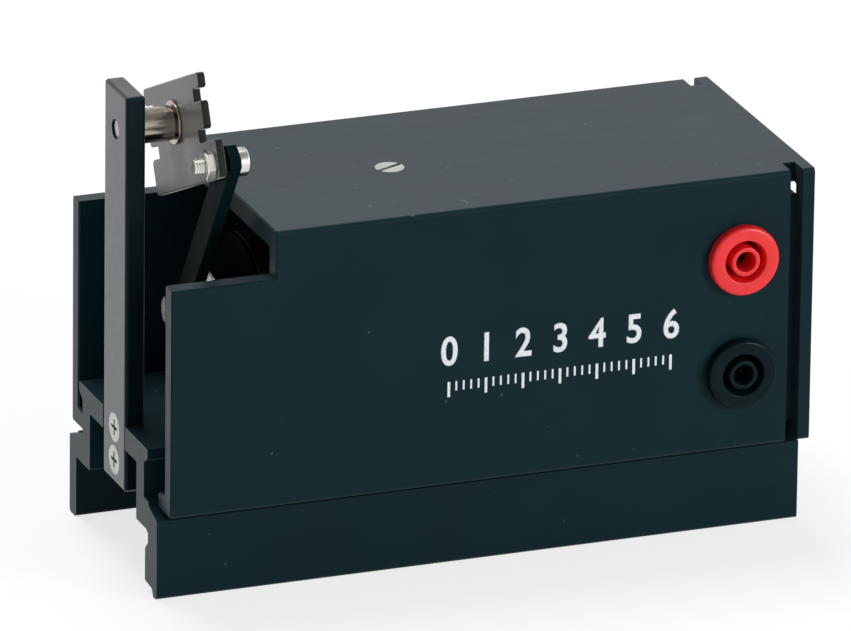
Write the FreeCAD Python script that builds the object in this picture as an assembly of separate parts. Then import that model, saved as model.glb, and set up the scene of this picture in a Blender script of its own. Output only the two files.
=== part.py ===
import FreeCAD, Part
import math
import os

# Wave drive unit of a ripple tank: a rail base, a hood, a small motor with a crank,
# and a connecting rod that rocks a notched plate on a post.
# While it is drawn, x runs from the left end of the base, y from its front face
# to the back, and z up from the floor. All sizes are in millimetres.

# Rail base, an extruded profile
base_length = 132.0
base_width = 50.0
skirt_height = 16.1
front_skirt = 6.6
front_toe = 1.9
toe_height = 1.5
rear_skirt = 3.75
web_underside = 12.5
grip_depth = 1.6
grip_top = 8.4
shoulder_rise = 1.5
shoulder_width = 4.5
shoulder_step = 0.8
rail_top = 28.9
rail_plate = 4.7
rail_leg = 4.2
rail_hollow = 26.7
rail_lip = 2.0
rail_lip_height = 2.0
rail_lip_slope = 1.2
rail_leg_foot = 18.6
profile_round = 0.4

# Hood, an inverted trough with a foot inside each wall
hood_shorter = 0.75
hood_offset = 1.6
hood_overhang = 3.2
hood_height = 73.25
hood_wall = 3.6
hood_draft = 0.2
hood_top = 4.0
hood_round = 0.8
foot_length = 7.2
foot_height = 3.2
foot_slope = 0.8
step_length = 21.0
step_depth = 9.5
slot_from_end = 5.0
slot_width = 2.6
slot_depth = 4.7

# End panel, which closes the right end between the walls of the hood
panel_thickness = 2.4
panel_recess = 2.5
panel_top_gap = 2.0
panel_bottom = 21.1

# Post
post_thickness = 4.0
post_width = 12.5
post_middle = 24.45
post_bottom = 15.3
post_top = 95.5
post_round = 0.7
post_screw_spacing = 6.65
post_screw_reach = 6.0
anchor_width = 10.0
anchor_length = 7.9
anchor_height = 7.2

# Rocker plate and its pivot
pivot_height = 87.3
pin_radius = 1.95
pin_recess = 0.35
pin_length = 14.9
bush_radius = 3.4
bush_start_gap = 0.3
washer_radius = 4.3
washer_thickness = 0.6
rocker_gap = 8.0
rocker_thickness = 1.5
rocker_tilt = 24.3
rocker_front = 17.0
rocker_rear = 16.3
rocker_above = 7.95
rocker_below = 12.75
ear_reach = 22.4
ear_top = 5.3
notch_width = 2.4
front_notch_depth = 3.8
rear_notch_depth = 4.4
front_notch_middle = 3.75
rear_notch_high = 3.3
rear_notch_low = 4.65
tab_round = 0.9
ear_hole_along = 18.5
ear_hole_below = 10.0

# Connecting rod, its two screws and the crank
rod_width = 6.0
rod_thickness = 2.45
rod_end = 3.3
rod_cut = 1.3
rod_edge = 0.2
rod_washer = 0.75
rod_washer_radius = 3.0
thread_radius = 1.5
thread_pitch = 0.5
thread_depth = 0.25
cheese_radius = 2.75
cheese_height = 2.0
nut_flats = 5.5
nut_thickness = 1.8
thread_show = 2.0
crank_screw_radius = 3.0
crank_washer = 0.5
crank_washer_radius = 4.2
crank_throw = 1.5
disc_radius = 8.5
disc_thickness = 3.2
disc_pocket_radius = 3.9
disc_pocket_depth = 2.3
hub_radius = 4.5
hub_length = 2.8

# Motor and the block that carries it
motor_y = 27.0
motor_height = 46.7
motor_radius = 15.0
motor_length = 38.2
motor_start = 26.4
can_wall = 1.0
front_cap_thickness = 1.0
shaft_radius = 1.5
bearing_radius = 4.0
bearing_length = 4.8
cap_thickness = 2.5
cap_spigot = 2.0
rear_bearing_radius = 3.0
magnet_thickness = 2.2
magnet_length = 24.0
magnet_half_angle = 62.0
air_gap = 0.6
armature_length = 20.0
armature_slot = 2.4
armature_neck = 5.0
commutator_radius = 3.5
commutator_length = 5.0
terminal_reach = 5.5
terminal_offset = 7.5
terminal_width = 3.2
terminal_thickness = 0.5
brush_length = 3.0
brush_width = 2.0
brush_setback = 0.5
block_length = 18.0
block_screw_reach = 3.8
block_screw_inset = 3.3
block_width = 36.0
block_middle = 55.7

# Screw that holds the hood down
hood_screw_y = 23.9
hood_screw_radius = 2.85
hood_screw_gap = 2.55

# Safety sockets in the front wall
socket_from_end = 14.8
socket_low = 33.3
socket_from_top = 16.7
socket_flange_radius = 7.0
socket_proud = 2.2
socket_barrel_radius = 4.35
socket_barrel_length = 21.0
socket_groove_radius = 3.9
socket_lead_in = 0.4
socket_sleeve_radius = 3.05
socket_groove_depth = 16.0
socket_nut_flats = 13.0
socket_nut_thickness = 3.0
contact_bore = 2.0
socket_mouth = 0.4
contact_wall = 0.45
contact_recess = 6.0
contact_depth = 14.0
tag_length = 5.0
tag_width = 2.6
tag_thickness = 0.8

# Inner leads
lead_radius = 0.65
lead_straight = 12.0
lead_rise = 12.0
lead_spread = 6.0
lead_side = 6.0
lead_loop = 9.0
lead_entry = 7.0

# Clearances
fit = 0.02
running = 0.05
seat = 0.05
slack = 0.2

# Places that follow from the sizes above
hood_left = hood_offset
hood_right = hood_offset + base_length - hood_shorter
hood_front = -hood_overhang
hood_rear = base_width + hood_overhang
hood_inner_front = hood_front + hood_wall
hood_inner_rear = hood_rear - hood_wall
hood_under = hood_height - hood_top
foot_tip = hood_front + foot_length
hood_bottom = skirt_height + shoulder_rise * min(foot_tip / shoulder_width, 1.0) + seat
step_x = hood_left + step_length
socket_x = hood_right - socket_from_end
socket_high = hood_height - socket_from_top
slot_x = hood_right - slot_from_end
panel_x = slot_x + (slot_width - panel_thickness) / 2
rail_middle = base_width / 2
rail_ceiling = rail_top - rail_plate
rocker_x = post_thickness + rocker_gap
rocker_back = rocker_x + rocker_thickness
rod_x = rocker_back + rod_washer + running
rod_back = rod_x + rod_thickness
disc_x = rod_back + crank_washer + running
tilt = math.radians(rocker_tilt)
pin_y = post_middle
motor_end = motor_start + motor_length
hood_screw_length = hood_height - motor_height - motor_radius - hood_screw_gap
screw_height = (rail_top + rail_ceiling) / 2
origin_x = (min(0.0, hood_left) + max(base_length, hood_right)) / 2
origin_y = (hood_front - socket_proud + max(base_width, hood_rear)) / 2


def rocker_point(along, above):
    """Point of the rocker plate, given along it to the front and above its pivot."""
    y = pin_y - along * math.cos(tilt) + above * math.sin(tilt)
    z = pivot_height + along * math.sin(tilt) + above * math.cos(tilt)
    return y, z


rod_top_y, rod_top_z = rocker_point(ear_hole_along, -ear_hole_below)
rod_reach = math.hypot(motor_y - rod_top_y, motor_height - rod_top_z)
crank_angle = (math.atan2(motor_height - rod_top_z, motor_y - rod_top_y)
               + math.acos(-crank_throw / rod_reach))
rod_low_y = motor_y + crank_throw * math.cos(crank_angle)
rod_low_z = motor_height + crank_throw * math.sin(crank_angle)
rod_span = math.hypot(rod_low_y - rod_top_y, rod_low_z - rod_top_z)


def box(x0, x1, y0, y1, z0, z1):
    """Box between two corners."""
    return Part.makeBox(x1 - x0, y1 - y0, z1 - z0, FreeCAD.Vector(x0, y0, z0))


def round_x(x0, x1, y, z, radius):
    """Cylinder along x."""
    return Part.makeCylinder(radius, x1 - x0, FreeCAD.Vector(x0, y, z), FreeCAD.Vector(1, 0, 0))


def round_y(y0, y1, x, z, radius):
    """Cylinder along y."""
    return Part.makeCylinder(radius, y1 - y0, FreeCAD.Vector(x, y0, z), FreeCAD.Vector(0, 1, 0))


def round_z(z0, z1, x, y, radius):
    """Cylinder along z."""
    return Part.makeCylinder(radius, z1 - z0, FreeCAD.Vector(x, y, z0), FreeCAD.Vector(0, 0, 1))


def rounded_wire(corners):
    """Closed wire through corners (point, radius), each corner rounded by an arc."""
    edges = []
    ends = []
    for index, (point, radius) in enumerate(corners):
        before = (corners[index - 1][0] - point).normalize()
        after = (corners[(index + 1) % len(corners)][0] - point).normalize()
        half = before.getAngle(after) / 2
        if radius == 0:
            ends.append((point, point, None))
            continue
        inwards = (before + after).normalize()
        centre = point + inwards * (radius / math.sin(half))
        reach = radius / math.tan(half)
        middle = centre - inwards * radius
        ends.append((point + before * reach, point + after * reach, middle))
    for index, (start, end, middle) in enumerate(ends):
        if middle is not None:
            edges.append(Part.Arc(start, middle, end).toShape())
        edges.append(Part.LineSegment(end, ends[(index + 1) % len(ends)][0]).toShape())
    return Part.Wire(edges)


def prism_x(points, x0, x1):
    """Solid of an outline of (y, z, corner radius) points, drawn out from x0 to x1."""
    corners = [(FreeCAD.Vector(x0, y, z), radius) for y, z, radius in points]
    face = Part.Face(rounded_wire(corners))
    return face.extrude(FreeCAD.Vector(x1 - x0, 0, 0))


def aim(shape, place, outward):
    """Move a shape drawn along z so that its z axis points outward from a place."""
    turn = FreeCAD.Rotation(FreeCAD.Vector(0, 0, 1), FreeCAD.Vector(*outward))
    shape.Placement = FreeCAD.Placement(FreeCAD.Vector(*place), turn)
    return shape


def cross_recess(radius, depth):
    """Cross-shaped recess of a screw head whose face is at z = 0."""
    arm = box(-radius, radius, -radius / 5, radius / 5, -depth, 1)
    other = box(-radius / 5, radius / 5, -radius, radius, -depth, 1)
    return arm.fuse(other)


def slot_recess(radius, width, depth, top):
    """Straight slot across a screw head whose face is at z = top."""
    return box(-radius - 1, radius + 1, -width / 2, width / 2, top - depth, top + 1)


def flat_screw(radius, length):
    """Countersunk screw with its head's face at z = 0 and its thread below."""
    depth = radius - thread_radius
    head = Part.makeCone(thread_radius, radius, depth, FreeCAD.Vector(0, 0, -depth))
    return head.fuse(round_z(-length, -depth, 0, 0, thread_radius))


def cheese_screw(radius, height, length):
    """Cheese-head screw with the underside of its head at z = 0."""
    head = round_z(0, height, 0, 0, radius)
    rim = [edge for edge in head.Edges if edge.BoundBox.ZMin > height - 0.01]
    head = head.makeFillet(height / 5, [edge for edge in rim if edge.BoundBox.XLength > radius])
    return head.fuse(round_z(-length, 0, 0, 0, thread_radius))


def thread_ridges(start, length):
    """Thread of ring ridges about z from start, with its end coned."""
    root = thread_radius - thread_depth
    points = [FreeCAD.Vector(0, 0, start), FreeCAD.Vector(root, 0, start)]
    for turn in range(round(length / thread_pitch)):
        low = start + turn * thread_pitch
        points.append(FreeCAD.Vector(thread_radius, 0, low + thread_pitch / 2))
        points.append(FreeCAD.Vector(root, 0, low + thread_pitch))
    points.append(FreeCAD.Vector(0, 0, points[-1].z))
    face = Part.Face(Part.makePolygon(points + [points[0]]))
    return face.revolve(FreeCAD.Vector(0, 0, 0), FreeCAD.Vector(0, 0, 1), 360)


def hexagon_x(x0, x1, y, z, flats, hole):
    """Hexagon nut along x with a round hole."""
    radius = flats / math.sqrt(3)
    corners = []
    for side in range(6):
        angle = math.radians(60 * side)
        corners.append((y + radius * math.cos(angle), z + radius * math.sin(angle), 0))
    body = prism_x(corners, x0, x1)
    cone_height = (x1 - x0) + radius
    for place, way in ((x1, 1), (x0, -1)):
        tip = FreeCAD.Vector(place + way * (radius - flats / 2) / 2, y, z)
        cone = Part.makeCone(flats / 2, flats / 2 + 2 * cone_height, cone_height, tip,
                             FreeCAD.Vector(-way, 0, 0))
        body = body.common(cone)
    return body.cut(round_x(x0 - 1, x1 + 1, y, z, hole))


def lead_path(points):
    """Wire of straight runs joined by tangent arcs through a list of points."""
    points = [FreeCAD.Vector(*point) for point in points]
    edges = []
    last = points[0]
    for index in range(1, len(points) - 1):
        back = points[index - 1] - points[index]
        ahead = points[index + 1] - points[index]
        reach = 0.45 * min(back.Length, ahead.Length)
        half = back.getAngle(ahead) / 2
        radius = reach * math.tan(half)
        print("lead arc radius", round(radius, 2))
        back.normalize()
        ahead.normalize()
        start = points[index] + back * reach
        end = points[index] + ahead * reach
        inwards = (back + ahead).normalize()
        middle = points[index] + inwards * (radius / math.sin(half) - radius)
        edges.append(Part.LineSegment(last, start).toShape())
        edges.append(Part.Arc(start, middle, end).toShape())
        last = end
    edges.append(Part.LineSegment(last, points[-1]).toShape())
    return Part.Wire(edges)


def lead(points):
    """Insulated lead along a route."""
    path = lead_path(points)
    first = FreeCAD.Vector(*points[0])
    way = FreeCAD.Vector(*points[1]) - first
    ring = Part.Wire(Part.Circle(first, way, lead_radius).toShape())
    solid = path.makePipeShell([ring], True, False)
    print("lead volume over section times length",
          round(solid.Volume / (math.pi * lead_radius ** 2 * path.Length), 4))
    return solid


def base_profile():
    """Extruded rail base with a notch for the post in its left end."""
    width = base_width
    leg_in = rail_middle - rail_hollow / 2
    leg_out = leg_in - rail_leg
    lip = leg_out - rail_lip
    lip_low = rail_top - rail_lip_height
    small = profile_round
    front = [
        (0, skirt_height, small), (0, 0, 2 * small), (front_toe, 0, small),
        (front_toe + 0.7, toe_height, small), (front_skirt, toe_height + 0.3, small),
        (front_skirt, grip_top, small), (front_skirt - grip_depth, grip_top + grip_depth, small),
        (front_skirt - grip_depth, web_underside - 0.6, small / 2),
        (front_skirt - grip_depth + 1.1, web_underside, small / 2), (leg_in, web_underside, small),
        (leg_in, rail_ceiling, small),
    ]
    rear = [
        (width - leg_in, rail_ceiling, small), (width - leg_in, web_underside, small),
        (width - rear_skirt, web_underside, small), (width - rear_skirt, 0, 2 * small),
        (width, 0, 2 * small),
    ]
    upper = []
    for side in (1, -1):
        edge = width if side == 1 else 0
        half = [
            (edge - side * shoulder_width, skirt_height + shoulder_rise, small / 2),
            (edge - side * (shoulder_width + small), skirt_height + shoulder_rise + shoulder_step,
             small / 2),
            (edge - side * leg_out, rail_leg_foot, small),
            (edge - side * leg_out, lip_low - rail_lip_slope, small),
            (edge - side * lip, lip_low, small),
            (edge - side * lip, rail_top, small),
        ]
        upper += half if side == 1 else half[::-1]
    outline = front + rear + [(width, skirt_height, small)] + upper
    body = prism_x(outline, 0, base_length)
    half_notch = post_width / 2 + seat
    notch = box(-1, post_thickness + seat, post_middle - half_notch, post_middle + half_notch,
                rail_ceiling - 1, rail_top + 1)
    body = body.cut(notch)
    cuts = [round_x(0, post_thickness + post_screw_reach + 1, post_middle, screw_height,
                    thread_radius + fit)]
    for x, y in block_screw_places():
        cuts.append(round_z(rail_ceiling - 1, rail_top + 1, x, y, thread_radius + slack))
    return body.cut(cuts)


def hood():
    """Trough-shaped hood, cut down at its left end and slotted near its right end."""
    middle = base_width / 2
    half = []
    for side in (-1, 1):
        out = middle + side * (middle + hood_overhang)
        points = [
            (out - side * hood_wall, hood_under, profile_round),
            (out - side * (hood_wall - hood_draft), hood_bottom + foot_height + foot_slope,
             profile_round),
            (out - side * foot_length, hood_bottom + foot_height, profile_round),
            (out - side * foot_length, hood_bottom, profile_round / 2),
            (out, hood_bottom, hood_round),
            (out, hood_height, hood_round),
        ]
        half.append(points)
    outline = half[0][::1] + half[1][::-1]
    body = prism_x(outline, hood_left, hood_right)
    cuts = [box(hood_left - 1, step_x, hood_front - 1, hood_rear + 1,
                hood_height - step_depth, hood_height + 1)]
    for reach, top in ((slot_depth, hood_height + 1), (foot_length + 1, panel_bottom + 1)):
        for y0, y1 in ((hood_front - 1, hood_front + reach), (hood_rear - reach, hood_rear + 1)):
            cuts.append(box(slot_x, slot_x + slot_width, y0, y1, hood_bottom - 1, top))
    for z in (socket_low, socket_high):
        cuts.append(round_y(hood_front - 1, hood_inner_front + 1, socket_x, z,
                            socket_barrel_radius + fit))
    depth = hood_screw_radius - thread_radius
    cuts.append(Part.makeCone(thread_radius + fit, hood_screw_radius + fit, depth,
                              FreeCAD.Vector(block_middle, hood_screw_y, hood_height - depth)))
    cuts.append(round_z(hood_under - 1, hood_height, block_middle, hood_screw_y,
                        thread_radius + slack))
    body = body.cut(cuts)
    ends = []
    for edge in body.Edges:
        bounds = edge.BoundBox
        at_left = bounds.XMax < hood_left + 0.01
        at_step = abs(bounds.ZMin - hood_height) < 0.01 and abs(bounds.XMin - step_x) < 0.01
        at_rim = abs(bounds.ZMax - hood_height + step_depth) < 0.01
        outside = bounds.YMax < hood_front + 0.01 or bounds.YMin > hood_rear - 0.01
        if (at_left and outside) or (at_step and bounds.XLength < 0.01):
            ends.append(edge)
        if at_rim and bounds.ZLength < 0.01 and outside and bounds.XLength > 1:
            ends.append(edge)
    return body.makeChamfer(0.3, ends)


def end_panel():
    """Panel in the slots near the right end, which straddles the rail."""
    front = hood_front + panel_recess
    rear = hood_rear - panel_recess
    top = hood_under - panel_top_gap
    rail_front = rail_middle - rail_hollow / 2 - rail_leg - rail_lip - slack
    rail_rear = base_width - rail_front
    floor = rail_top + seat
    points = [
        (front, panel_bottom, 0), (rail_front, panel_bottom, 0), (rail_front, floor, 0),
        (rail_rear, floor, 0), (rail_rear, panel_bottom, 0), (rear, panel_bottom, 0),
        (rear, top, 1), (front, top, 1),
    ]
    return prism_x(points, panel_x, panel_x + panel_thickness)


def post():
    """Flat upright bar in the notch of the rail."""
    y0 = post_middle - post_width / 2
    y1 = post_middle + post_width / 2
    body = box(0, post_thickness, y0, y1, post_bottom, post_top)
    body = body.makeFillet(post_round, body.Edges)
    depth = cheese_radius + 0.15 - thread_radius
    cuts = [round_x(-1, post_thickness + 1, pin_y, pivot_height, pin_radius + fit)]
    for z in (screw_height, screw_height - post_screw_spacing):
        cuts.append(Part.makeCone(cheese_radius + 0.15 + fit, thread_radius + fit, depth,
                                  FreeCAD.Vector(0, post_middle, z), FreeCAD.Vector(1, 0, 0)))
        cuts.append(round_x(-1, post_thickness + 1, post_middle, z, thread_radius + fit))
    return body.cut(cuts)


def post_screws():
    """Two countersunk screws with cross recesses that hold the post."""
    screws = []
    for z in (screw_height, screw_height - post_screw_spacing):
        screw = flat_screw(cheese_radius + 0.15, post_thickness + post_screw_reach)
        screw = screw.cut(cross_recess(1.6, 0.9))
        screws.append(aim(screw, (0, post_middle, z), (-1, 0, 0)))
    return Part.makeCompound(screws)


def post_anchor():
    """Tapped block behind the post, inside the rail, for the lower screw."""
    x0 = post_thickness + seat
    top = rail_ceiling - seat
    body = box(x0, x0 + anchor_length, post_middle - anchor_width / 2,
               post_middle + anchor_width / 2, top - anchor_height, top)
    return body.cut(round_x(x0 - 1, x0 + anchor_length + 1, post_middle,
                            screw_height - post_screw_spacing, thread_radius + fit))


def pivot_pin():
    """Fixed pin of the rocker, with a groove for its retaining ring."""
    start = pin_recess
    body = round_x(start, start + pin_length, pin_y, pivot_height, pin_radius)
    ring = round_x(clip_x(), clip_x() + 0.7, pin_y, pivot_height, pin_radius + 1)
    ring = ring.cut(round_x(clip_x() - 1, clip_x() + 2, pin_y, pivot_height, pin_radius - 0.4))
    body = body.cut(ring)
    rims = [edge for edge in body.Edges if edge.BoundBox.XLength < 0.01
            and (edge.BoundBox.XMin < start + 0.01 or edge.BoundBox.XMax > start + pin_length - 0.01)]
    return body.makeChamfer(0.3, rims)


def clip_x():
    """Place along x of the retaining ring on the pivot pin."""
    return rocker_back + 0.5


def pivot_clip():
    """Split retaining ring on the end of the pivot pin."""
    thickness = 0.6
    x0 = clip_x() + 0.05
    ring = round_x(x0, x0 + thickness, pin_y, pivot_height, pin_radius + 1.3)
    ring = ring.cut(round_x(x0 - 1, x0 + 2, pin_y, pivot_height, pin_radius - 0.4 + fit))
    gap = box(x0 - 1, x0 + 2, pin_y - 1.0, pin_y + 1.0, pivot_height - 5, pivot_height)
    return ring.cut(gap)


def pivot_bush():
    """Turned bush that runs on the pin and is staked into the rocker plate."""
    x0 = post_thickness + bush_start_gap
    x1 = rocker_x - washer_thickness - 0.1
    barrel = round_x(x0, x1, pin_y, pivot_height, bush_radius)
    rims = [edge for edge in barrel.Edges if edge.BoundBox.XLength < 0.01]
    barrel = barrel.makeChamfer(0.35, rims)
    spigot = round_x(x1, rocker_back + 0.3, pin_y, pivot_height, pin_radius + 0.85)
    body = barrel.fuse(spigot)
    return body.cut(round_x(x0 - 1, rocker_back + 2, pin_y, pivot_height, pin_radius + running))


def pivot_washer():
    """Plain washer between the bush and the rocker plate."""
    x1 = rocker_x - fit
    body = round_x(x1 - washer_thickness, x1, pin_y, pivot_height, washer_radius)
    rims = [edge for edge in body.Edges if edge.BoundBox.XLength < 0.01]
    body = body.makeFillet(0.15, rims)
    return body.cut(round_x(x1 - 3, x1 + 1, pin_y, pivot_height, pin_radius + 0.85 + fit))


def rocker_plate():
    """Notched sheet that rocks on the pivot, tilted at rest, with an ear for the rod."""
    half = notch_width / 2
    sharp = 0.3
    front_floor = rocker_front - front_notch_depth
    rear_floor = rear_notch_depth - rocker_rear
    plate = [
        (rocker_front, rocker_above, tab_round),
        (rocker_front, front_notch_middle + half, tab_round),
        (front_floor, front_notch_middle + half, sharp),
        (front_floor, front_notch_middle - half, sharp),
        (rocker_front, front_notch_middle - half, tab_round),
        (rocker_front, -ear_top + notch_width, tab_round),
        (front_floor, -ear_top + notch_width, sharp),
        (front_floor, -ear_top, sharp),
        (ear_reach, -ear_top, tab_round),
        (ear_reach, -rocker_below, tab_round),
        (-rocker_rear, -rocker_below, tab_round),
        (-rocker_rear, -rear_notch_low - half, tab_round),
        (rear_floor, -rear_notch_low - half, sharp),
        (rear_floor, -rear_notch_low + half, sharp),
        (-rocker_rear, -rear_notch_low + half, tab_round),
        (-rocker_rear, rear_notch_high - half, tab_round),
        (rear_floor, rear_notch_high - half, sharp),
        (rear_floor, rear_notch_high + half, sharp),
        (-rocker_rear, rear_notch_high + half, tab_round),
        (-rocker_rear, rocker_above, tab_round),
    ]
    points = [(*rocker_point(along, above), radius) for along, above, radius in plate]
    body = prism_x(points, rocker_x, rocker_back)
    rims = [edge for edge in body.Edges if edge.BoundBox.XLength < 0.01]
    body = body.makeFillet(0.25, rims)
    cuts = [
        round_x(rocker_x - 1, rocker_back + 1, pin_y, pivot_height, pin_radius + 0.85 + fit),
        round_x(rocker_x - 1, rocker_back + 1, rod_top_y, rod_top_z, thread_radius + fit),
    ]
    return body.cut(cuts)


def rocker_screw():
    """Slotted screw through the ear, on which the rod turns."""
    head_x = rod_back + running
    length = head_x - rocker_x + nut_thickness
    screw = cheese_screw(cheese_radius, cheese_height, length)
    screw = screw.cut(slot_recess(cheese_radius, 0.8, 1.0, cheese_height))
    screw = screw.fuse(thread_ridges(-length - thread_show, thread_show))
    return aim(screw, (head_x, rod_top_y, rod_top_z), (1, 0, 0))


def rocker_nut():
    """Hexagon nut of the screw through the ear."""
    return hexagon_x(rocker_x - nut_thickness, rocker_x, rod_top_y, rod_top_z, nut_flats,
                     thread_radius + fit)


def rocker_washer():
    """Washer between the ear and the rod."""
    body = round_x(rocker_back, rocker_back + rod_washer, rod_top_y, rod_top_z, rod_washer_radius)
    return body.cut(round_x(rocker_back - 1, rocker_back + 3, rod_top_y, rod_top_z,
                            thread_radius + fit))


def rod_point(along, across):
    """Point of the rod, along it from its top axis and across it to the back."""
    cos = (rod_low_y - rod_top_y) / rod_span
    sin = (rod_low_z - rod_top_z) / rod_span
    return rod_top_y + along * cos - across * sin, rod_top_z + along * sin + across * cos


def conrod():
    """Flat connecting rod from the crank up to the ear of the rocker plate."""
    half = rod_width / 2
    low = rod_span + rod_end
    corners = [
        (-rod_end, rod_cut - half), (rod_cut - rod_end, -half), (low - rod_cut, -half),
        (low, rod_cut - half), (low, half - rod_cut), (low - rod_cut, half),
        (rod_cut - rod_end, half), (-rod_end, half - rod_cut),
    ]
    points = [(*rod_point(along, across), 0) for along, across in corners]
    body = prism_x(points, rod_x, rod_back)
    rims = [edge for edge in body.Edges if edge.BoundBox.XLength < 0.01]
    body = body.makeChamfer(rod_edge, rims)
    cuts = [
        round_x(rod_x - 1, rod_back + 1, rod_top_y, rod_top_z, thread_radius + running),
        round_x(rod_x - 1, rod_back + 1, rod_low_y, rod_low_z, thread_radius + fit),
    ]
    return body.cut(cuts)


def crank_screw():
    """Slotted screw at the foot of the rod, which the crank drives."""
    reach = disc_x + disc_pocket_depth - 0.4
    head_x = rod_x - crank_washer
    screw = cheese_screw(crank_screw_radius, cheese_height, reach - head_x)
    screw = screw.cut(slot_recess(crank_screw_radius, 0.9, 1.1, cheese_height))
    return aim(screw, (head_x, rod_low_y, rod_low_z), (-1, 0, 0))


def crank_washers():
    """One washer on each side of the foot of the rod."""
    washers = []
    for x0 in (rod_x - crank_washer, rod_back):
        washer = round_x(x0, x0 + crank_washer, rod_low_y, rod_low_z, crank_washer_radius)
        hole = round_x(x0 - 1, x0 + 2, rod_low_y, rod_low_z, thread_radius + fit)
        washers.append(washer.cut(hole))
    return Part.makeCompound(washers)


def crank_disc():
    """Crank disc with a hub, pocketed in front for the end of the crank screw."""
    hub_x = disc_x + disc_thickness
    disc = round_x(disc_x, hub_x, motor_y, motor_height, disc_radius)
    rims = [edge for edge in disc.Edges if edge.BoundBox.XLength < 0.01]
    disc = disc.makeChamfer(0.4, rims)
    body = disc.fuse(round_x(hub_x, hub_x + hub_length, motor_y, motor_height, hub_radius))
    body = body.cut(round_x(disc_x - 1, disc_x + disc_pocket_depth, motor_y, motor_height,
                            disc_pocket_radius))
    body = body.cut(round_x(disc_x, hub_x + hub_length + 1, motor_y, motor_height,
                            shaft_radius + fit))
    grub = round_z(motor_height, motor_height + hub_radius + 1, hub_x + hub_length / 2, motor_y,
                   grub_radius())
    return body.cut(grub)


def grub_radius():
    """Radius of the grub screw in the crank's hub."""
    return shaft_radius * 0.7


def crank_grub_screw():
    """Grub screw that locks the crank on the shaft."""
    x = disc_x + disc_thickness + hub_length / 2
    low = motor_height + shaft_radius + fit
    body = round_z(low, motor_height + hub_radius - 0.2, x, motor_y, grub_radius() - fit)
    slot = box(x - 2, x + 2, motor_y - 0.25, motor_y + 0.25, motor_height + hub_radius - 0.9,
               motor_height + hub_radius + 1)
    return body.cut(slot)


def motor_shaft():
    """Shaft of the motor, from the crank to the rear bearing."""
    return round_x(disc_x + disc_pocket_depth + 0.1, motor_end + cap_thickness - 1.2, motor_y,
                   motor_height, shaft_radius)


def motor_can():
    """Drawn can of the motor, open at the back."""
    body = round_x(motor_start, motor_end, motor_y, motor_height, motor_radius)
    rim = [edge for edge in body.Edges if edge.BoundBox.XMax < motor_start + 0.01]
    body = body.makeFillet(can_wall / 4, rim)
    body = body.cut(round_x(motor_start + can_wall, motor_end + 1, motor_y, motor_height,
                            motor_radius - can_wall))
    return body.cut(round_x(motor_start - 1, motor_start + 2, motor_y, motor_height,
                            bearing_radius + fit))


def motor_front_cap():
    """Insulating disc on the front of the can."""
    x0 = motor_start - front_cap_thickness
    body = round_x(x0, motor_start, motor_y, motor_height, motor_radius)
    rim = [edge for edge in body.Edges if edge.BoundBox.XMax < x0 + 0.01]
    body = body.makeChamfer(front_cap_thickness / 4, rim)
    return body.cut(round_x(x0 - 1, motor_start + 1, motor_y, motor_height, bearing_radius + fit))


def front_bearing():
    """Plain bearing in the front of the can."""
    x0 = motor_start + can_wall + 1 - bearing_length
    body = round_x(x0, x0 + bearing_length, motor_y, motor_height, bearing_radius)
    return body.cut(round_x(x0 - 1, x0 + bearing_length + 1, motor_y, motor_height,
                            shaft_radius + running))


def rear_bearing():
    """Plain bearing in the end cap."""
    x0 = motor_end - cap_spigot + 0.2
    x1 = motor_end + cap_thickness - 1
    body = round_x(x0, x1, motor_y, motor_height, rear_bearing_radius)
    return body.cut(round_x(x0 - 1, x1 + 1, motor_y, motor_height, shaft_radius + running))


def terminal_boxes(grow):
    """Two flat terminals that pass through the end cap, grown all round by a clearance."""
    boxes = []
    for side in (-1, 1):
        y0 = motor_y + side * terminal_offset - terminal_thickness / 2
        boxes.append(box(motor_end - cap_spigot - brush_length - 1, motor_end + cap_thickness
                         + terminal_reach, y0 - grow, y0 + terminal_thickness + grow,
                         motor_height - terminal_width / 2 - grow,
                         motor_height + terminal_width / 2 + grow))
    return boxes


def motor_end_cap():
    """Moulded cap that closes the back of the can."""
    flange = round_x(motor_end, motor_end + cap_thickness, motor_y, motor_height, motor_radius)
    rim = [edge for edge in flange.Edges if edge.BoundBox.XMin > motor_end + 0.01]
    flange = flange.makeFillet(0.6, [edge for edge in rim if edge.BoundBox.XLength < 0.01])
    spigot = round_x(motor_end - cap_spigot, motor_end, motor_y, motor_height,
                     motor_radius - can_wall - fit)
    body = flange.fuse(spigot)
    body = body.cut(round_x(motor_end - 5, motor_end + cap_thickness - 1, motor_y, motor_height,
                            rear_bearing_radius + fit))
    return body.cut(terminal_boxes(fit))


def motor_terminals():
    """Two flat terminals, which also carry the brushes."""
    return Part.makeCompound(terminal_boxes(0))


def motor_brushes():
    """Two carbon brushes between the terminals and the commutator."""
    x1 = motor_end - cap_spigot - brush_setback
    brushes = []
    for side in (-1, 1):
        near = motor_y + side * (commutator_radius + running)
        far = motor_y + side * (terminal_offset - terminal_thickness / 2)
        brushes.append(box(x1 - brush_length, x1, min(near, far), max(near, far),
                           motor_height - brush_width / 2, motor_height + brush_width / 2))
    return Part.makeCompound(brushes)


def magnet_start():
    """Place along x where the magnets and the armature are centred."""
    return motor_start + can_wall + 3 + magnet_length / 2


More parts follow.
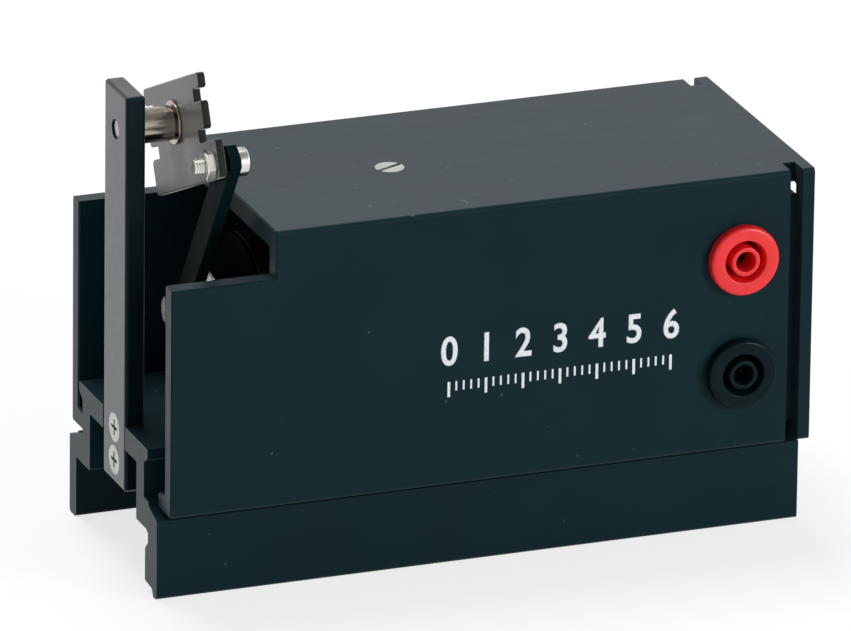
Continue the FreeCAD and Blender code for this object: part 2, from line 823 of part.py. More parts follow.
def motor_magnets():
    """Two curved magnets on the inside of the can."""
    outer = motor_radius - can_wall - fit
    x0 = magnet_start() - magnet_length / 2
    ring = round_x(x0, x0 + magnet_length, motor_y, motor_height, outer)
    ring = ring.cut(round_x(x0 - 1, x0 + magnet_length + 1, motor_y, motor_height,
                            outer - magnet_thickness))
    reach = outer * 2
    magnets = []
    for side in (-1, 1):
        wedge = [(motor_y, motor_height, 0)]
        for turn in (-magnet_half_angle, 0, magnet_half_angle):
            angle = math.radians(turn)
            wedge.append((motor_y + side * reach * math.cos(angle),
                          motor_height + reach * math.sin(angle), 0))
        magnets.append(ring.common(prism_x(wedge, x0 - 1, x0 + magnet_length + 1)))
    return Part.makeCompound(magnets)


def armature():
    """Three-pole armature core on the shaft."""
    radius = motor_radius - can_wall - fit - magnet_thickness - air_gap
    x0 = magnet_start() - armature_length / 2
    body = round_x(x0, x0 + armature_length, motor_y, motor_height, radius)
    for pole in range(3):
        slot = box(x0 - 1, x0 + armature_length + 1, motor_y + armature_neck, motor_y + radius + 1,
                   motor_height - armature_slot / 2, motor_height + armature_slot / 2)
        slot.rotate(FreeCAD.Vector(x0, motor_y, motor_height), FreeCAD.Vector(1, 0, 0),
                    120 * pole + 30)
        body = body.cut(slot)
    return body.cut(round_x(x0 - 1, x0 + armature_length + 1, motor_y, motor_height,
                            shaft_radius + fit))


def commutator():
    """Commutator on the shaft, under the brushes."""
    x1 = motor_end - cap_spigot - 0.3
    body = round_x(x1 - commutator_length, x1, motor_y, motor_height, commutator_radius)
    return body.cut(round_x(x1 - commutator_length - 1, x1 + 1, motor_y, motor_height,
                            shaft_radius + fit))


def block_screw_places():
    """Places (x, y) of the screws that hold the motor block from below."""
    places = []
    for x in (block_middle - block_length / 4, block_middle + block_length / 4):
        for side in (-1, 1):
            places.append((x, rail_middle + side * (rail_hollow / 2 - block_screw_inset)))
    return places


def motor_block():
    """Block on the rail that holds the motor and takes the screw of the hood."""
    x0 = block_middle - block_length / 2
    x1 = block_middle + block_length / 2
    y0 = motor_y - block_width / 2
    body = box(x0, x1, y0, y0 + block_width, rail_top, hood_under - seat)
    uprights = [edge for edge in body.Edges if edge.BoundBox.ZLength > 1]
    body = body.makeChamfer(0.8, uprights)
    cuts = [round_x(x0 - 1, x1 + 1, motor_y, motor_height, motor_radius + running)]
    for x, y in block_screw_places():
        cuts.append(round_z(rail_top - 1, rail_top + block_screw_reach + slack, x, y,
                            thread_radius + fit))
    cuts.append(round_z(hood_height - hood_screw_length - 0.3, hood_height, block_middle,
                        hood_screw_y, thread_radius + fit))
    cuts.append(round_y(y0 - 1, motor_y, block_middle, motor_height, thread_radius + 0.5))
    return body.cut(cuts)


def motor_block_screws():
    """Four screws from below through the rail into the motor block."""
    screws = []
    for x, y in block_screw_places():
        screw = cheese_screw(cheese_radius, cheese_height, rail_plate + block_screw_reach)
        screw = screw.cut(slot_recess(cheese_radius, 0.8, 1.0, cheese_height))
        screws.append(aim(screw, (x, y, rail_ceiling), (0, 0, -1)))
    return Part.makeCompound(screws)


def motor_grub_screw():
    """Grub screw that locks the motor in its block."""
    y0 = motor_y - block_width / 2
    y1 = motor_y - motor_radius - fit
    body = round_y(y0 + 0.3, y1, block_middle, motor_height, thread_radius + 0.5 - fit)
    slot = box(block_middle - 3, block_middle + 3, y0 - 1, y0 + 1.2, motor_height - 0.3,
               motor_height + 0.3)
    return body.cut(slot)


def hood_screw():
    """Countersunk slotted screw that holds the hood on the motor block."""
    screw = flat_screw(hood_screw_radius, hood_screw_length)
    screw = screw.cut(slot_recess(hood_screw_radius, 0.8, 0.8, 0))
    screw.rotate(FreeCAD.Vector(0, 0, 0), FreeCAD.Vector(0, 0, 1), 25)
    screw.translate(FreeCAD.Vector(block_middle, hood_screw_y, hood_height))
    return screw


def socket_body(z):
    """Insulated body of a safety socket, with a ring groove for a shrouded plug."""
    face = hood_front - socket_proud
    back = hood_front + socket_barrel_length - socket_proud
    flange = round_y(face, hood_front, socket_x, z, socket_flange_radius)
    rim = [edge for edge in flange.Edges if edge.BoundBox.YMax < face + 0.01]
    flange = flange.makeFillet(0.8, rim)
    body = flange.fuse(round_y(hood_front, back, socket_x, z, socket_barrel_radius))
    groove = round_y(face - 1, face + socket_groove_depth, socket_x, z, socket_groove_radius)
    sleeve = round_y(face + 0.5, face + socket_groove_depth + 1, socket_x, z,
                     socket_sleeve_radius)
    body = body.cut(groove.cut(sleeve))
    body = body.cut(Part.makeCone(socket_groove_radius + socket_lead_in, socket_groove_radius,
                                  socket_lead_in, FreeCAD.Vector(socket_x, face, z),
                                  FreeCAD.Vector(0, 1, 0)))
    body = body.cut(round_y(face - 1, back + 1, socket_x, z, contact_bore + socket_mouth))
    return body.cut(round_y(face + contact_recess, back + 1, socket_x, z,
                            contact_bore + contact_wall + fit))


def socket_red():
    """Body of the upper socket."""
    return socket_body(socket_high)


def socket_black():
    """Body of the lower socket."""
    return socket_body(socket_low)


def contact(z):
    """Contact tube of a socket, closed at the back, with a solder tag."""
    face = hood_front - socket_proud
    back = face + socket_barrel_length
    body = round_y(face + contact_recess, back + 0.6, socket_x, z, contact_bore + contact_wall)
    body = body.cut(round_y(face, face + contact_recess + contact_depth, socket_x, z,
                            contact_bore))
    tag = box(socket_x - tag_width / 2, socket_x + tag_width / 2, back, back + tag_length,
              z - tag_thickness / 2, z + tag_thickness / 2)
    return body.fuse(tag)


def contact_red():
    """Contact of the upper socket."""
    return contact(socket_high)


def contact_black():
    """Contact of the lower socket."""
    return contact(socket_low)


def socket_nuts():
    """Two hexagon nuts that hold the sockets behind the front wall."""
    nuts = []
    radius = socket_nut_flats / math.sqrt(3)
    for z in (socket_low, socket_high):
        corners = []
        for side in range(6):
            angle = math.radians(60 * side + 30)
            corners.append(FreeCAD.Vector(socket_x + radius * math.cos(angle), hood_inner_front,
                                          z + radius * math.sin(angle)))
        face = Part.Face(Part.makePolygon(corners + [corners[0]]))
        nut = face.extrude(FreeCAD.Vector(0, socket_nut_thickness, 0))
        nuts.append(nut.cut(round_y(hood_inner_front - 1, hood_inner_rear, socket_x, z,
                                    socket_barrel_radius + fit)))
    return Part.makeCompound(nuts)


def lead_route(side, z):
    """Route of a lead from a motor terminal to the tag of a socket."""
    start_x = motor_end + cap_thickness + terminal_reach
    start_y = motor_y + side * terminal_offset
    tag_end = hood_front - socket_proud + socket_barrel_length + tag_length
    return [
        (start_x, start_y, motor_height),
        (start_x + lead_straight, start_y, motor_height),
        (start_x + lead_straight + lead_rise, start_y + lead_spread, (motor_height + z) / 2),
        (socket_x - lead_side, tag_end + lead_loop, z),
        (socket_x, tag_end + lead_entry, z),
        (socket_x, tag_end, z),
    ]


def lead_red():
    """Lead of the upper socket."""
    return lead(lead_route(-1, socket_high))


def lead_black():
    """Lead of the lower socket."""
    return lead(lead_route(1, socket_low))


makers = [
    base_profile, hood, end_panel,
    post, post_screws, post_anchor, pivot_pin, pivot_clip, pivot_bush, pivot_washer,
    rocker_plate, rocker_screw, rocker_nut, rocker_washer, conrod, crank_screw,
    crank_washers, crank_disc, crank_grub_screw, motor_shaft, motor_can, motor_front_cap,
    front_bearing,
    rear_bearing, motor_end_cap, motor_terminals, motor_brushes, motor_magnets, armature,
    commutator, motor_block, motor_block_screws, motor_grub_screw, hood_screw,
    socket_red, socket_black, contact_red, contact_black, socket_nuts, lead_red, lead_black,
]

os.makedirs("parts", exist_ok=True)
for maker in makers:
    shape = maker()
    shape.translate(FreeCAD.Vector(-origin_x, -origin_y, 0))
    shape.exportStep("parts/" + maker.__name__ + ".step")

print("origin", round(origin_x, 4), round(origin_y, 4))
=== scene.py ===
import math

import bpy
from mathutils import Matrix, Vector


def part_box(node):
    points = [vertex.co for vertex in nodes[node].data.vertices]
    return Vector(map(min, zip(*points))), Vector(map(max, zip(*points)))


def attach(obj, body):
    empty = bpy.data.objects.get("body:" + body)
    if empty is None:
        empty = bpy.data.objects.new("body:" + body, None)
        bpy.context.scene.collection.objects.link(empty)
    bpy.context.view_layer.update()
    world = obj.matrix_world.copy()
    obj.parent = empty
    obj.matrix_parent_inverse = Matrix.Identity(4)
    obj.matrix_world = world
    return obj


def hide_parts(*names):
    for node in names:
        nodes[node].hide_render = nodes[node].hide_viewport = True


# A wave drive unit for a ripple tank: a black rail base and hood, a post with a
# rocking plate, a connecting rod and a small motor. Lengths are in metres.
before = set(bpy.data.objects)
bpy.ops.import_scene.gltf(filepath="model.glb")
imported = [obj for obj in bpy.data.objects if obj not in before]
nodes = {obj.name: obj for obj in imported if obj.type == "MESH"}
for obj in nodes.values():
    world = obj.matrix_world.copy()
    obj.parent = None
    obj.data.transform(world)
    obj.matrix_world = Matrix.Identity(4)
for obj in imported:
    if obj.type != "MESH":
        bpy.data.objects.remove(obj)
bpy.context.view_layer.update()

# Base, hood and end panel: drawn aluminium under a thin dyed oxide, a satin black
# with some teal in it, faintly clouded, with pale specks and a soft grain. The
# anchor that holds the post inside the rail has the same finish.
mm = 0.001


def new_material(name):
    """A node material, with its node tree and its Principled shader."""
    material = bpy.data.materials.new(name)
    material.use_nodes = True
    shader = material.node_tree.nodes["Principled BSDF"]
    return material, material.node_tree, shader


def link(tree, source, output, target, socket):
    """Joins an output of one node to an input of another."""
    tree.links.new(source.outputs[output], target.inputs[socket])


def object_space(tree, scale=(1, 1, 1)):
    """Object coordinates through a Mapping node."""
    where = tree.nodes.new("ShaderNodeTexCoord")
    mapping = tree.nodes.new("ShaderNodeMapping")
    mapping.inputs["Scale"].default_value = scale
    link(tree, where, "Object", mapping, "Vector")
    return mapping


def noise(tree, mapping, scale, detail=3.0, roughness=0.5):
    """A Noise texture on a mapping."""
    texture = tree.nodes.new("ShaderNodeTexNoise")
    texture.inputs["Scale"].default_value = scale
    texture.inputs["Detail"].default_value = detail
    texture.inputs["Roughness"].default_value = roughness
    link(tree, mapping, "Vector", texture, "Vector")
    return texture


def ramp(tree, texture, stops):
    """A colour ramp after a texture, with two stops of (position, colour)."""
    node = tree.nodes.new("ShaderNodeValToRGB")
    for element, (position, colour) in zip(node.color_ramp.elements, stops):
        element.position = position
        element.color = (*colour, 1)
    link(tree, texture, "Fac", node, "Fac")
    return node


def span(tree, source, output, low, high, start, end):
    """Maps a value from start..end to low..high."""
    node = tree.nodes.new("ShaderNodeMapRange")
    node.inputs["From Min"].default_value = start
    node.inputs["From Max"].default_value = end
    node.inputs["To Min"].default_value = low
    node.inputs["To Max"].default_value = high
    link(tree, source, output, node, "Value")
    return node


def roughen(tree, shader, texture, rough):
    """A roughness that follows a texture between two values."""
    low, high = rough
    mapped = span(tree, texture, "Fac", low, high, start=0.3, end=0.7)
    link(tree, mapped, "Result", shader, "Roughness")


def bump(tree, shader, texture, strength, distance):
    """A bump on a shader's normal."""
    node = tree.nodes.new("ShaderNodeBump")
    node.inputs["Strength"].default_value = strength
    node.inputs["Distance"].default_value = distance
    link(tree, texture, "Fac", node, "Height")
    link(tree, node, "Normal", shader, "Normal")


def satin_black(name, dark, pale, rough, sheen=0.0):
    """Satin dyed oxide or paint: soft clouding, pale specks and a fine grain."""
    material, tree, shader = new_material(name)
    still = object_space(tree)
    drawn = object_space(tree, scale=(0.12, 1, 1))
    cloud = noise(tree, still, 38.0, detail=4.0, roughness=0.55)
    streak = noise(tree, drawn, 700.0)
    grain = noise(tree, still, 3200.0, detail=2.0)
    speck = noise(tree, still, 620.0, detail=0.0)
    tint = ramp(tree, cloud, [(0.3, dark), (0.7, pale)])
    fleck = ramp(tree, speck, [(0.84, (1, 1, 1)), (0.87, (7, 4, 4))])
    mixed = tree.nodes.new("ShaderNodeMix")
    mixed.data_type = "RGBA"
    mixed.blend_type = "MULTIPLY"
    mixed.inputs["Factor"].default_value = 1.0
    tree.links.new(tint.outputs["Color"], mixed.inputs[6])
    tree.links.new(fleck.outputs["Color"], mixed.inputs[7])
    tree.links.new(mixed.outputs[2], shader.inputs["Base Color"])
    roughen(tree, shader, streak, rough)
    bump(tree, shader, grain, strength=0.02, distance=0.02 * mm)
    if sheen:
        shader.inputs["Sheen Weight"].default_value = sheen
        shader.inputs["Sheen Roughness"].default_value = 0.35
    return material, shader


def dress(material, *names):
    """Gives CAD nodes one material in their slots."""
    for name in names:
        mesh = nodes[name].data
        mesh.materials.clear()
        mesh.materials.append(material)


black_oxide, shader = satin_black("black_oxide", (0.0036, 0.0162, 0.0212),
                                  (0.0046, 0.0200, 0.0262), rough=(0.37, 0.41), sheen=0.07)
shader.inputs["IOR"].default_value = 1.31
shader.inputs["Specular Tint"].default_value = (0.25, 0.25, 0.25, 1)
dress(black_oxide, "base_profile", "hood", "end_panel", "post_anchor")

# Post: a flat drawn bar with rounded edges, let into a notch in the rail's left end
# and held there by two screws. It is dyed as the base is, with a smoother oxide that
# shines grey at a low angle.
post_oxide, shader = satin_black("post_oxide", (0.0010, 0.0055, 0.0075),
                                 (0.0020, 0.0080, 0.0100), rough=(0.30, 0.36), sheen=0.58)
shader.inputs["IOR"].default_value = 1.7
shader.inputs["Specular Tint"].default_value = (0.06, 0.11, 0.13, 1)
dress(post_oxide, "post")


# Pin, bush and washer: turned steel. The pin is fixed in the post and has a ground
# end. The bush runs on it and is staked into the plate, and both the bush and the
# washer behind it are nickel plated.
def plated(name, colour, rough, grain=900.0):
    """Plated turned metal, with small differences in colour and gloss."""
    material, tree, shader = new_material(name)
    still = object_space(tree)
    fine = noise(tree, still, grain)
    cloud = noise(tree, still, 260.0, detail=2.0)
    darker = tuple(part * 0.82 for part in colour)
    tint = ramp(tree, cloud, [(0.3, darker), (0.7, colour)])
    link(tree, tint, "Color", shader, "Base Color")
    roughen(tree, shader, fine, rough)
    shader.inputs["Metallic"].default_value = 1.0
    bump(tree, shader, fine, strength=0.02, distance=0.01 * mm)
    return material


steel = plated("ground_steel", (0.5, 0.5, 0.49), rough=(0.2, 0.35))
bush_nickel = plated("bush_nickel", (0.46, 0.41, 0.35), rough=(0.12, 0.22))
dress(steel, "pivot_pin")
dress(bush_nickel, "pivot_bush", "pivot_washer")

# Screws of the post, the hood, the block and the motor, the grub screw of the crank,
# and the split ring in the pin's groove: steel under a duller zinc plate.
zinc = plated("zinc_plate", (0.52, 0.55, 0.52), rough=(0.26, 0.38))
dress(zinc, "post_screws", "hood_screw", "motor_block_screws", "motor_grub_screw",
      "crank_grub_screw", "pivot_clip")

# Rocker plate: flat pressed sheet steel with two notches in each edge and an ear for
# the rod. It has a dark grey satin paint and is staked to the bush.
plate_paint, shader = satin_black("plate_paint", (0.0080, 0.0095, 0.0095),
                                  (0.0120, 0.0135, 0.0130), rough=(0.27, 0.30), sheen=0.58)
shader.inputs["IOR"].default_value = 1.7
shader.inputs["Specular Tint"].default_value = (0.12, 0.15, 0.15, 1)
dress(plate_paint, "rocker_plate")

# Screw on which the rod turns, and the screw and washers at the rod's foot: turned
# steel under bright nickel plate. The upper screw goes through the plate's ear.
nickel = plated("nickel_plate", (0.82, 0.81, 0.76), rough=(0.20, 0.28), grain=2600.0)
dress(nickel, "rocker_screw", "rocker_nut", "crank_screw", "crank_washers")

# Rocker nut: a plated hexagon nut that holds the upper screw in the ear, with the
# corners of both faces turned off. It is a six-sided bar cut by a turned blank and
# then bored, with a corner to the front.
nut_flats = 5.5 * mm
nut_bore_radius = 1.5 * mm
nut_face_radius = 2.6 * mm
nut_corner = nut_flats / math.sqrt(3)
bar_spare = 0.4 * mm
blank_radius = nut_corner + 0.05 * mm
chamfer = blank_radius - nut_face_radius
chamfer_rise = chamfer * math.tan(math.radians(30))


def only(obj):
    """Selects one object alone and makes it active."""
    bpy.ops.object.select_all(action="DESELECT")
    obj.select_set(True)
    bpy.context.view_layer.objects.active = obj


def turned_bar(name, sides, radius, length, middle, rotation):
    """A bar with round or flat sides, with its place put into its mesh."""
    bpy.ops.object.select_all(action="DESELECT")
    bpy.ops.mesh.primitive_cylinder_add(vertices=sides, radius=radius, depth=length,
                                        location=middle, rotation=rotation)
    bar = bpy.context.object
    bar.name = name
    bpy.ops.object.transform_apply(location=True, rotation=True, scale=True)
    return bar


def pick_faces(obj, keep):
    """Selects the faces of a mesh whose centre and normal pass a test."""
    bpy.ops.object.mode_set(mode="EDIT")
    bpy.ops.mesh.select_mode(type="FACE")
    bpy.ops.mesh.select_all(action="DESELECT")
    bpy.ops.object.mode_set(mode="OBJECT")
    for face in obj.data.polygons:
        face.select = keep(face.center, face.normal)
    bpy.ops.object.mode_set(mode="EDIT")


low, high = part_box("rocker_nut")
nut_middle = (low + high) / 2
nut_thick = high.x - low.x
along_x = (0, math.radians(90), 0)
hex_nut = turned_bar("rocker_hex_nut", 6, nut_corner, nut_thick + bar_spare, nut_middle,
                     along_x)
turned_blank = turned_bar("turned_blank", 96, blank_radius, nut_thick - 2 * chamfer_rise,
                          nut_middle, along_x)
pick_faces(turned_blank, lambda centre, normal: abs(normal.x) > 0.9)
bpy.ops.mesh.inset(thickness=chamfer, depth=chamfer_rise)
bpy.ops.object.mode_set(mode="OBJECT")
nut_bore = turned_bar("nut_bore", 64, nut_bore_radius, nut_thick + mm, nut_middle, along_x)
for operation, cutter in (("INTERSECT", turned_blank), ("DIFFERENCE", nut_bore)):
    cut = hex_nut.modifiers.new("cut", "BOOLEAN")
    cut.operation = operation
    cut.solver = "EXACT"
    cut.object = cutter
    only(hex_nut)
    bpy.ops.object.modifier_apply(modifier="cut")
    bpy.data.objects.remove(cutter)
only(hex_nut)
bpy.ops.object.shade_smooth_by_angle(angle=math.radians(22))
hex_nut.data.materials.clear()
hex_nut.data.materials.append(nickel)
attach(hex_nut, "rocker")
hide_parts("rocker_nut")

# Connecting rod: a flat machined bar of black dyed aluminium, from the crank up to
# the plate's ear. It is duller than the metal round it.
rod_black, shader = satin_black("rod_black", (0.0014, 0.0070, 0.0078),
                                (0.0020, 0.0090, 0.0098), rough=(0.30, 0.38))
shader.inputs["Specular IOR Level"].default_value = 0.02
dress(rod_black, "conrod")

# Crank and motor: a ground steel disc and shaft, brass bearings, terminals and
# commutator, and a can under yellow passivated plate, in the dark of the hood. The
# can's plate is made much darker than yellow passivated steel, as painted shade.
brass = plated("brass", (0.78, 0.57, 0.24), rough=(0.2, 0.35))
# Painted shade: the can's yellow plate is made nearly black, for the dark inside the hood.
painted_shade_gold_can = plated("yellow_passivated_painted_shade", (0.055, 0.070, 0.032), rough=(0.45, 0.6))
dress(steel, "crank_disc", "motor_shaft")
dress(brass, "front_bearing", "rear_bearing", "motor_terminals", "commutator")
dress(painted_shade_gold_can, "motor_can")


# Motor caps and block, socket nuts and the spacer on the rod's screw: matt moulded
# plastic, its black made darker still as painted shade for the dark of the hood.
# Brushes, magnets and armature are dull sintered parts. None of them catches much
# light inside the hood.
def moulded(name, colour, pale, rough, texture=0.1):
    """Moulded plastic with faint flow marks, and a bump as strong as its texture."""
    material, tree, shader = new_material(name)
    still = object_space(tree)
    flow = noise(tree, still, 120.0)
    fine = noise(tree, still, 1500.0)
    tint = ramp(tree, flow, [(0.3, colour), (0.7, pale)])
    link(tree, tint, "Color", shader, "Base Color")
    roughen(tree, shader, fine, rough)
    bump(tree, shader, fine, strength=texture, distance=0.02 * mm)
    return material, shader


# Painted shade: this black is darker than black plastic, to stay as dark as the shade in
# the hood's mouth.
black_plastic_and_painted_shade, shader = moulded("black_plastic_painted_shade", (0.001, 0.0014, 0.0014),
                             (0.002, 0.0026, 0.0026), rough=(0.5, 0.7), texture=0.3)
shader.inputs["Specular IOR Level"].default_value = 0.02
carbon, shader = moulded("carbon", (0.015, 0.015, 0.016), (0.03, 0.03, 0.03),
                         rough=(0.5, 0.7), texture=0.4)
dress(black_plastic_and_painted_shade, "motor_front_cap", "motor_end_cap", "motor_block", "socket_nuts",
      "rocker_washer")
dress(carbon, "motor_brushes", "motor_magnets", "armature")

# Contacts: a turned brass tube deep in the sleeve of each socket, with a flat solder
# tag behind it. The brass is given a darker colour than the bearings' brass.
dark_brass = plated("dark_brass", (0.24, 0.17, 0.08), rough=(0.35, 0.5))
dress(dark_brass, "contact_red", "contact_black")

# Sockets: two moulded bodies, red and black, with a rounded flange, a ring groove
# for the shroud of a plug and a sleeve in the middle. Each goes through the front
# wall, and a nut behind the wall holds it.
red_plastic, shader = moulded("red_plastic", (0.68, 0.008, 0.012), (0.78, 0.014, 0.018),
                              rough=(0.3, 0.42))
shader.inputs["Subsurface Weight"].default_value = 0.3
shader.inputs["Subsurface Radius"].default_value = (1.0, 0.1, 0.1)
shader.inputs["Subsurface Scale"].default_value = 1.2 * mm
black_gloss, shader = moulded("black_plastic_gloss", (0.0008, 0.0075, 0.0095),
                              (0.0014, 0.0090, 0.0112), rough=(0.22, 0.30))
shader.inputs["Specular IOR Level"].default_value = 0.08
flange_radius = 7 * mm
flange_edge = 0.75 * mm
groove_mouth = 4.3 * mm
groove_radius = 3.94 * mm
groove_taper = 1.4 * mm
groove_depth = 15.2 * mm
sleeve_radius = 2.9 * mm
sleeve_bore = 2.06 * mm
sleeve_depth = 5.4 * mm
barrel_radius = 4.35 * mm
contact_seat = 2.47 * mm
corner_round = 0.15 * mm
left_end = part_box("base_profile")[0].x
front_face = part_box("base_profile")[0].y
front_wall = -3.2


def place(x, y, z):
    """A point given in millimetres from the base's left front foot."""
    return Vector((left_end + x * mm, front_face + y * mm, z * mm))


def push(distance):
    """Extrudes the chosen face along y."""
    bpy.ops.mesh.extrude_region_move(TRANSFORM_OT_translate={"value": (0, distance, 0)})


def socket_body(name, node, material):
    """A socket body, shaped from a disc about an axis along y, for a CAD node."""
    low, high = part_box(node)
    wall_y = place(0, front_wall, 0).y
    middle = (low + high) / 2
    middle.y = (low.y + wall_y) / 2
    body = turned_bar(name, 96, flange_radius, wall_y - low.y, middle,
                      (math.radians(90), 0, 0))

    def pick_end(way):
        pick_faces(body, lambda centre, normal: normal.y * way > 0.9 and
                   math.hypot(centre.x - middle.x, centre.z - middle.z) < mm)

    pick_end(-1)
    bpy.ops.mesh.bevel(offset=flange_edge, segments=6, affect="EDGES")
    pick_end(-1)
    bpy.ops.mesh.inset(thickness=flange_radius - flange_edge - groove_mouth)
    bpy.ops.mesh.inset(thickness=groove_mouth - groove_radius, depth=-groove_taper)
    push(groove_depth - groove_taper)
    bpy.ops.mesh.inset(thickness=groove_radius - sleeve_radius)
    push(-groove_depth)
    bpy.ops.mesh.inset(thickness=sleeve_radius - sleeve_bore)
    push(sleeve_depth)
    bpy.ops.mesh.delete(type="ONLY_FACE")
    pick_end(1)
    bpy.ops.mesh.inset(thickness=flange_radius - barrel_radius)
    push(high.y - wall_y)
    bpy.ops.mesh.inset(thickness=barrel_radius - contact_seat)
    push(low.y + sleeve_depth - high.y)
    bpy.ops.mesh.delete(type="ONLY_FACE")
    bpy.ops.mesh.select_mode(type="EDGE")
    bpy.ops.mesh.select_all(action="DESELECT")
    bpy.ops.mesh.select_non_manifold(extend=False)
    bpy.ops.mesh.bridge_edge_loops()
    bpy.ops.mesh.select_all(action="SELECT")
    bpy.ops.mesh.remove_doubles(threshold=0.001 * mm)
    bpy.ops.mesh.normals_make_consistent(inside=False)
    bpy.ops.object.mode_set(mode="OBJECT")
    edge = body.modifiers.new("edge", "BEVEL")
    edge.width = corner_round
    edge.segments = 3
    edge.limit_method = "ANGLE"
    edge.angle_limit = math.radians(50)
    only(body)
    bpy.ops.object.modifier_apply(modifier="edge")
    bpy.ops.object.shade_smooth_by_angle(angle=math.radians(35))
    body.data.materials.append(material)
    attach(body, "base")
    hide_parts(node)


socket_body("red_socket_body", "socket_red", red_plastic)
socket_body("black_socket_body", "socket_black", black_gloss)

# Inner leads: thin flexible wire in red and black insulation. Each is soldered to a
# terminal of the motor and to the tag of its socket, and hangs in a soft bend.
scene = bpy.context.scene
lead_radius = 0.65 * mm
red_route = [(72.6, 19.5, 46.7), (84.6, 19.5, 46.7), (96.6, 25.5, 51.6),
             (112.05, 29.6, 56.55), (118.05, 27.6, 56.55), (118.05, 20.6, 56.55)]
black_route = [(72.6, 34.5, 46.7), (84.6, 34.5, 46.7), (96.6, 40.5, 40.0),
               (112.05, 29.6, 33.3), (118.05, 27.6, 33.3), (118.05, 20.6, 33.3)]


def lead_wire(name, node, material, route):
    """A lead as a smooth tube along a route of points in millimetres."""
    curve = bpy.data.curves.new(name, "CURVE")
    curve.dimensions = "3D"
    spline = curve.splines.new("NURBS")
    spline.points.add(len(route) - 1)
    for point, where in zip(spline.points, route):
        point.co = (*place(*where), 1)
    spline.order_u = 3
    spline.use_endpoint_u = True
    spline.resolution_u = 16
    curve.bevel_depth = lead_radius
    curve.bevel_resolution = 4
    curve.use_fill_caps = True
    lead = bpy.data.objects.new(name, curve)
    scene.collection.objects.link(lead)
    only(lead)
    bpy.ops.object.convert(target="MESH")
    lead = bpy.context.object
    bpy.ops.object.shade_smooth_by_angle(angle=math.radians(35))
    lead.data.materials.append(material)
    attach(lead, "base")
    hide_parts(node)


lead_wire("red_lead", "lead_red", red_plastic, red_route)
lead_wire("black_lead", "lead_black", black_gloss, black_route)

# Scale on the front wall: plain numbers over a row of strokes, screen printed in
# white ink on the oxide. Every fifth stroke is longer and stands under a number.
white_ink, tree, shader = new_material("white_ink")
thin = noise(tree, object_space(tree), 1800.0)
ink = ramp(tree, thin, [(0.25, (0.52, 0.56, 0.58)), (0.5, (0.72, 0.76, 0.78))])
link(tree, ink, "Color", shader, "Base Color")
roughen(tree, shader, thin, rough=(0.45, 0.6))
bump(tree, shader, thin, strength=0.1, distance=0.01 * mm)
shader.inputs["Specular IOR Level"].default_value = 0.2
last_number = 6
scale_start = 58.0
number_pitch = 7.6
number_foot = 42.1
number_size = 8.4 * mm
number_stretch = (0.84, 0.97, 0.12)
ink_spread = 0.2 * mm
ink_height = 0.03 * mm
strokes_per_number = 5
stroke_pitch = number_pitch / strokes_per_number
stroke_top = 38.6
long_stroke = (0.55, 3.1)
short_stroke = (0.38, 1.9)
prints = []
for number in range(last_number + 1):
    foot = place(scale_start + number_pitch * number, front_wall, number_foot)
    bpy.ops.object.select_all(action="DESELECT")
    bpy.ops.object.text_add(location=foot, rotation=(math.radians(90), 0, 0))
    digit = bpy.context.object
    digit.data.body = str(number)
    digit.data.size = number_size
    digit.data.bevel_depth = ink_spread
    digit.data.bevel_resolution = 0
    digit.data.align_x = "CENTER"
    digit.scale = number_stretch
    bpy.ops.object.convert(target="MESH")
    prints.append(bpy.context.object)
for step in range(last_number * strokes_per_number + 1):
    wide, tall = long_stroke if step % strokes_per_number == 0 else short_stroke
    middle = place(scale_start + stroke_pitch * step, front_wall, stroke_top - tall / 2)
    bpy.ops.object.select_all(action="DESELECT")
    bpy.ops.mesh.primitive_cube_add(size=1, location=middle)
    stroke = bpy.context.object
    stroke.scale = (wide * mm, 2 * ink_height, tall * mm)
    bpy.ops.object.transform_apply(location=True, rotation=True, scale=True)
    bpy.ops.object.mode_set(mode="EDIT")
    bpy.ops.mesh.select_all(action="SELECT")
    bpy.ops.mesh.bevel(offset=0.01 * mm, segments=1, affect="EDGES")
    bpy.ops.object.mode_set(mode="OBJECT")
    prints.append(stroke)
bpy.ops.object.select_all(action="DESELECT")
for piece in prints:
    piece.select_set(True)
bpy.context.view_layer.objects.active = prints[0]
bpy.ops.object.join()
scale_print = bpy.context.object
scale_print.name = "scale_print"
bpy.ops.object.transform_apply(location=True, rotation=True, scale=True)
scale_print.data.materials.clear()
scale_print.data.materials.append(white_ink)
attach(scale_print, "base")

# Floor: a plain pale sheet. The camera and reflections see it mostly white, and the
# rest of it keeps the object's shadow.
white_share = 0.75
bpy.ops.object.select_all(action="DESELECT")
bpy.ops.mesh.primitive_plane_add(size=8, location=(0, 0, 0))
floor = bpy.context.object
floor.name = "floor"
floor_material, tree, shader = new_material("pale_floor")
shader.inputs["Base Color"].default_value = (0.9, 0.9, 0.9, 1)
shader.inputs["Roughness"].default_value = 0.9
shader.inputs["Specular IOR Level"].default_value = 0.1


def seen_rays(tree):
    """One for rays from the camera, reflections and transmission, else nothing."""
    rays = tree.nodes.new("ShaderNodeLightPath")
    either = tree.nodes.new("ShaderNodeMath")
    either.operation = "MAXIMUM"
    link(tree, rays, "Is Camera Ray", either, 0)
    link(tree, rays, "Is Glossy Ray", either, 1)
    both = tree.nodes.new("ShaderNodeMath")
    both.operation = "MAXIMUM"
    link(tree, either, "Value", both, 0)
    link(tree, rays, "Is Transmission Ray", both, 1)
    return both


def choose(tree, factor, plain, seen, target):
    """Mixes two shaders by a factor and joins them to an output node."""
    choice = tree.nodes.new("ShaderNodeMixShader")
    link(tree, factor, "Value", choice, "Fac")
    link(tree, plain, 0, choice, 1)
    link(tree, seen, 0, choice, 2)
    link(tree, choice, "Shader", tree.nodes[target], "Surface")


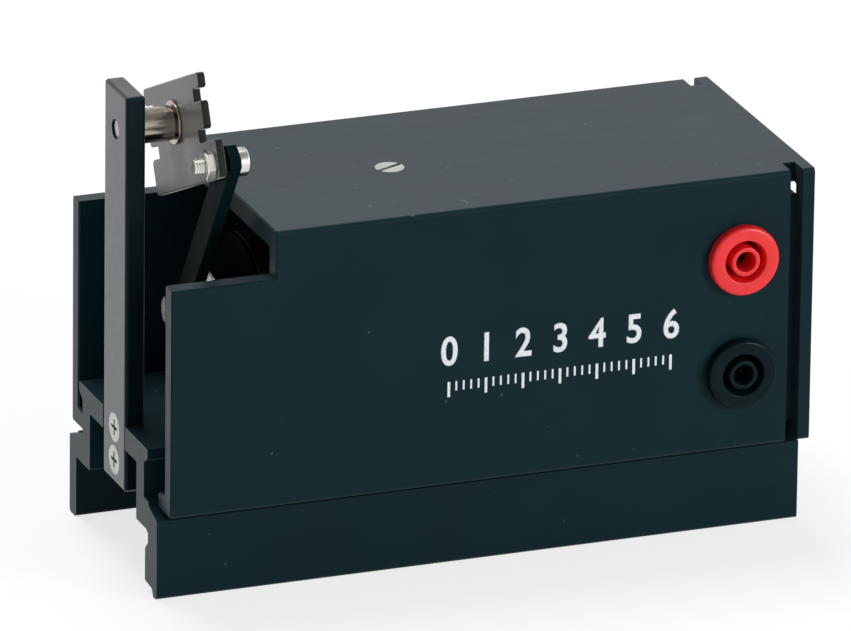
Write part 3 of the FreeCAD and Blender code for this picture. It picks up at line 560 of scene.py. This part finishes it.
white = tree.nodes.new("ShaderNodeEmission")
white.inputs["Strength"].default_value = 1.0
share = tree.nodes.new("ShaderNodeMath")
share.operation = "MULTIPLY"
share.inputs[1].default_value = white_share
link(tree, seen_rays(tree), "Value", share, 0)
choose(tree, share, shader, white, "Material Output")
floor.data.materials.append(floor_material)

# World: a soft grey fill light. The camera and reflections see white walls under a
# ceiling that is darker overhead.
world = bpy.data.worlds.new("studio")
scene.world = world
world.use_nodes = True
tree = world.node_tree
background = tree.nodes["Background"]
background.inputs["Color"].default_value = (1, 1, 1, 1)
background.inputs["Strength"].default_value = 0.35
bright = tree.nodes.new("ShaderNodeBackground")
bright.inputs["Color"].default_value = (1, 1, 1, 1)
direction = tree.nodes.new("ShaderNodeTexCoord")
height = tree.nodes.new("ShaderNodeSeparateXYZ")
link(tree, direction, "Generated", height, "Vector")
ceiling = span(tree, height, "Z", low=1.0, high=0.3, start=0.42, end=0.8)
link(tree, ceiling, "Result", bright, "Strength")
choose(tree, seen_rays(tree), background, bright, "World Output")


# Lamps: two soft boxes. One hangs behind the object and throws its shadow to the
# front, and a lower one in front to the right lights the front wall.
def soft_box(name, where, aim, size, power):
    """A square area lamp aimed at a point."""
    data = bpy.data.lights.new(name, "AREA")
    data.shape = "SQUARE"
    data.size = size
    data.energy = power
    lamp = bpy.data.objects.new(name, data)
    scene.collection.objects.link(lamp)
    lamp.location = where
    lamp.rotation_mode = "QUATERNION"
    lamp.rotation_quaternion = (Vector(aim) - Vector(where)).to_track_quat("-Z", "Y")


soft_box("behind", (-0.06, 0.46, 1.25), aim=(0, 0, 0.03), size=0.5, power=13.0)
soft_box("front_right", (0.85, -1.05, 0.42), aim=(0, 0, 0.05), size=0.5, power=11.2)

# Camera: a long lens far off, to the left of the front and above. Its numbers are
# the fit of the base and the hood, for an image 851 pixels wide.
azimuth = math.radians(-21.069)
elevation = math.radians(20.557)
roll = math.radians(0.730)
focal_pixels = 13105.087
image_width = 851
offset = Vector((-51.336, -54.408, 2500.451)) * mm
ahead = Vector((-math.sin(azimuth) * math.cos(elevation),
                math.cos(azimuth) * math.cos(elevation), -math.sin(elevation)))
level_side = ahead.cross(Vector((0, 0, 1))).normalized()
level_up = level_side.cross(ahead)
side = level_side * math.cos(roll) + level_up * math.sin(roll)
up = level_up * math.cos(roll) - level_side * math.sin(roll)
camera_data = bpy.data.cameras.new("camera")
camera_data.sensor_width = 36.0
camera_data.lens = focal_pixels / image_width * camera_data.sensor_width
camera_data.clip_start = 0.05
camera_data.clip_end = 50.0
camera = bpy.data.objects.new("camera", camera_data)
scene.collection.objects.link(camera)
scene.camera = camera
spot = place(0, 0, 0) - (side * offset.x + up * offset.y + ahead * offset.z)
axes = Matrix((side, up, -ahead)).transposed()
camera.matrix_world = Matrix.Translation(spot) @ axes.to_4x4()

scene.view_settings.view_transform = "Standard"
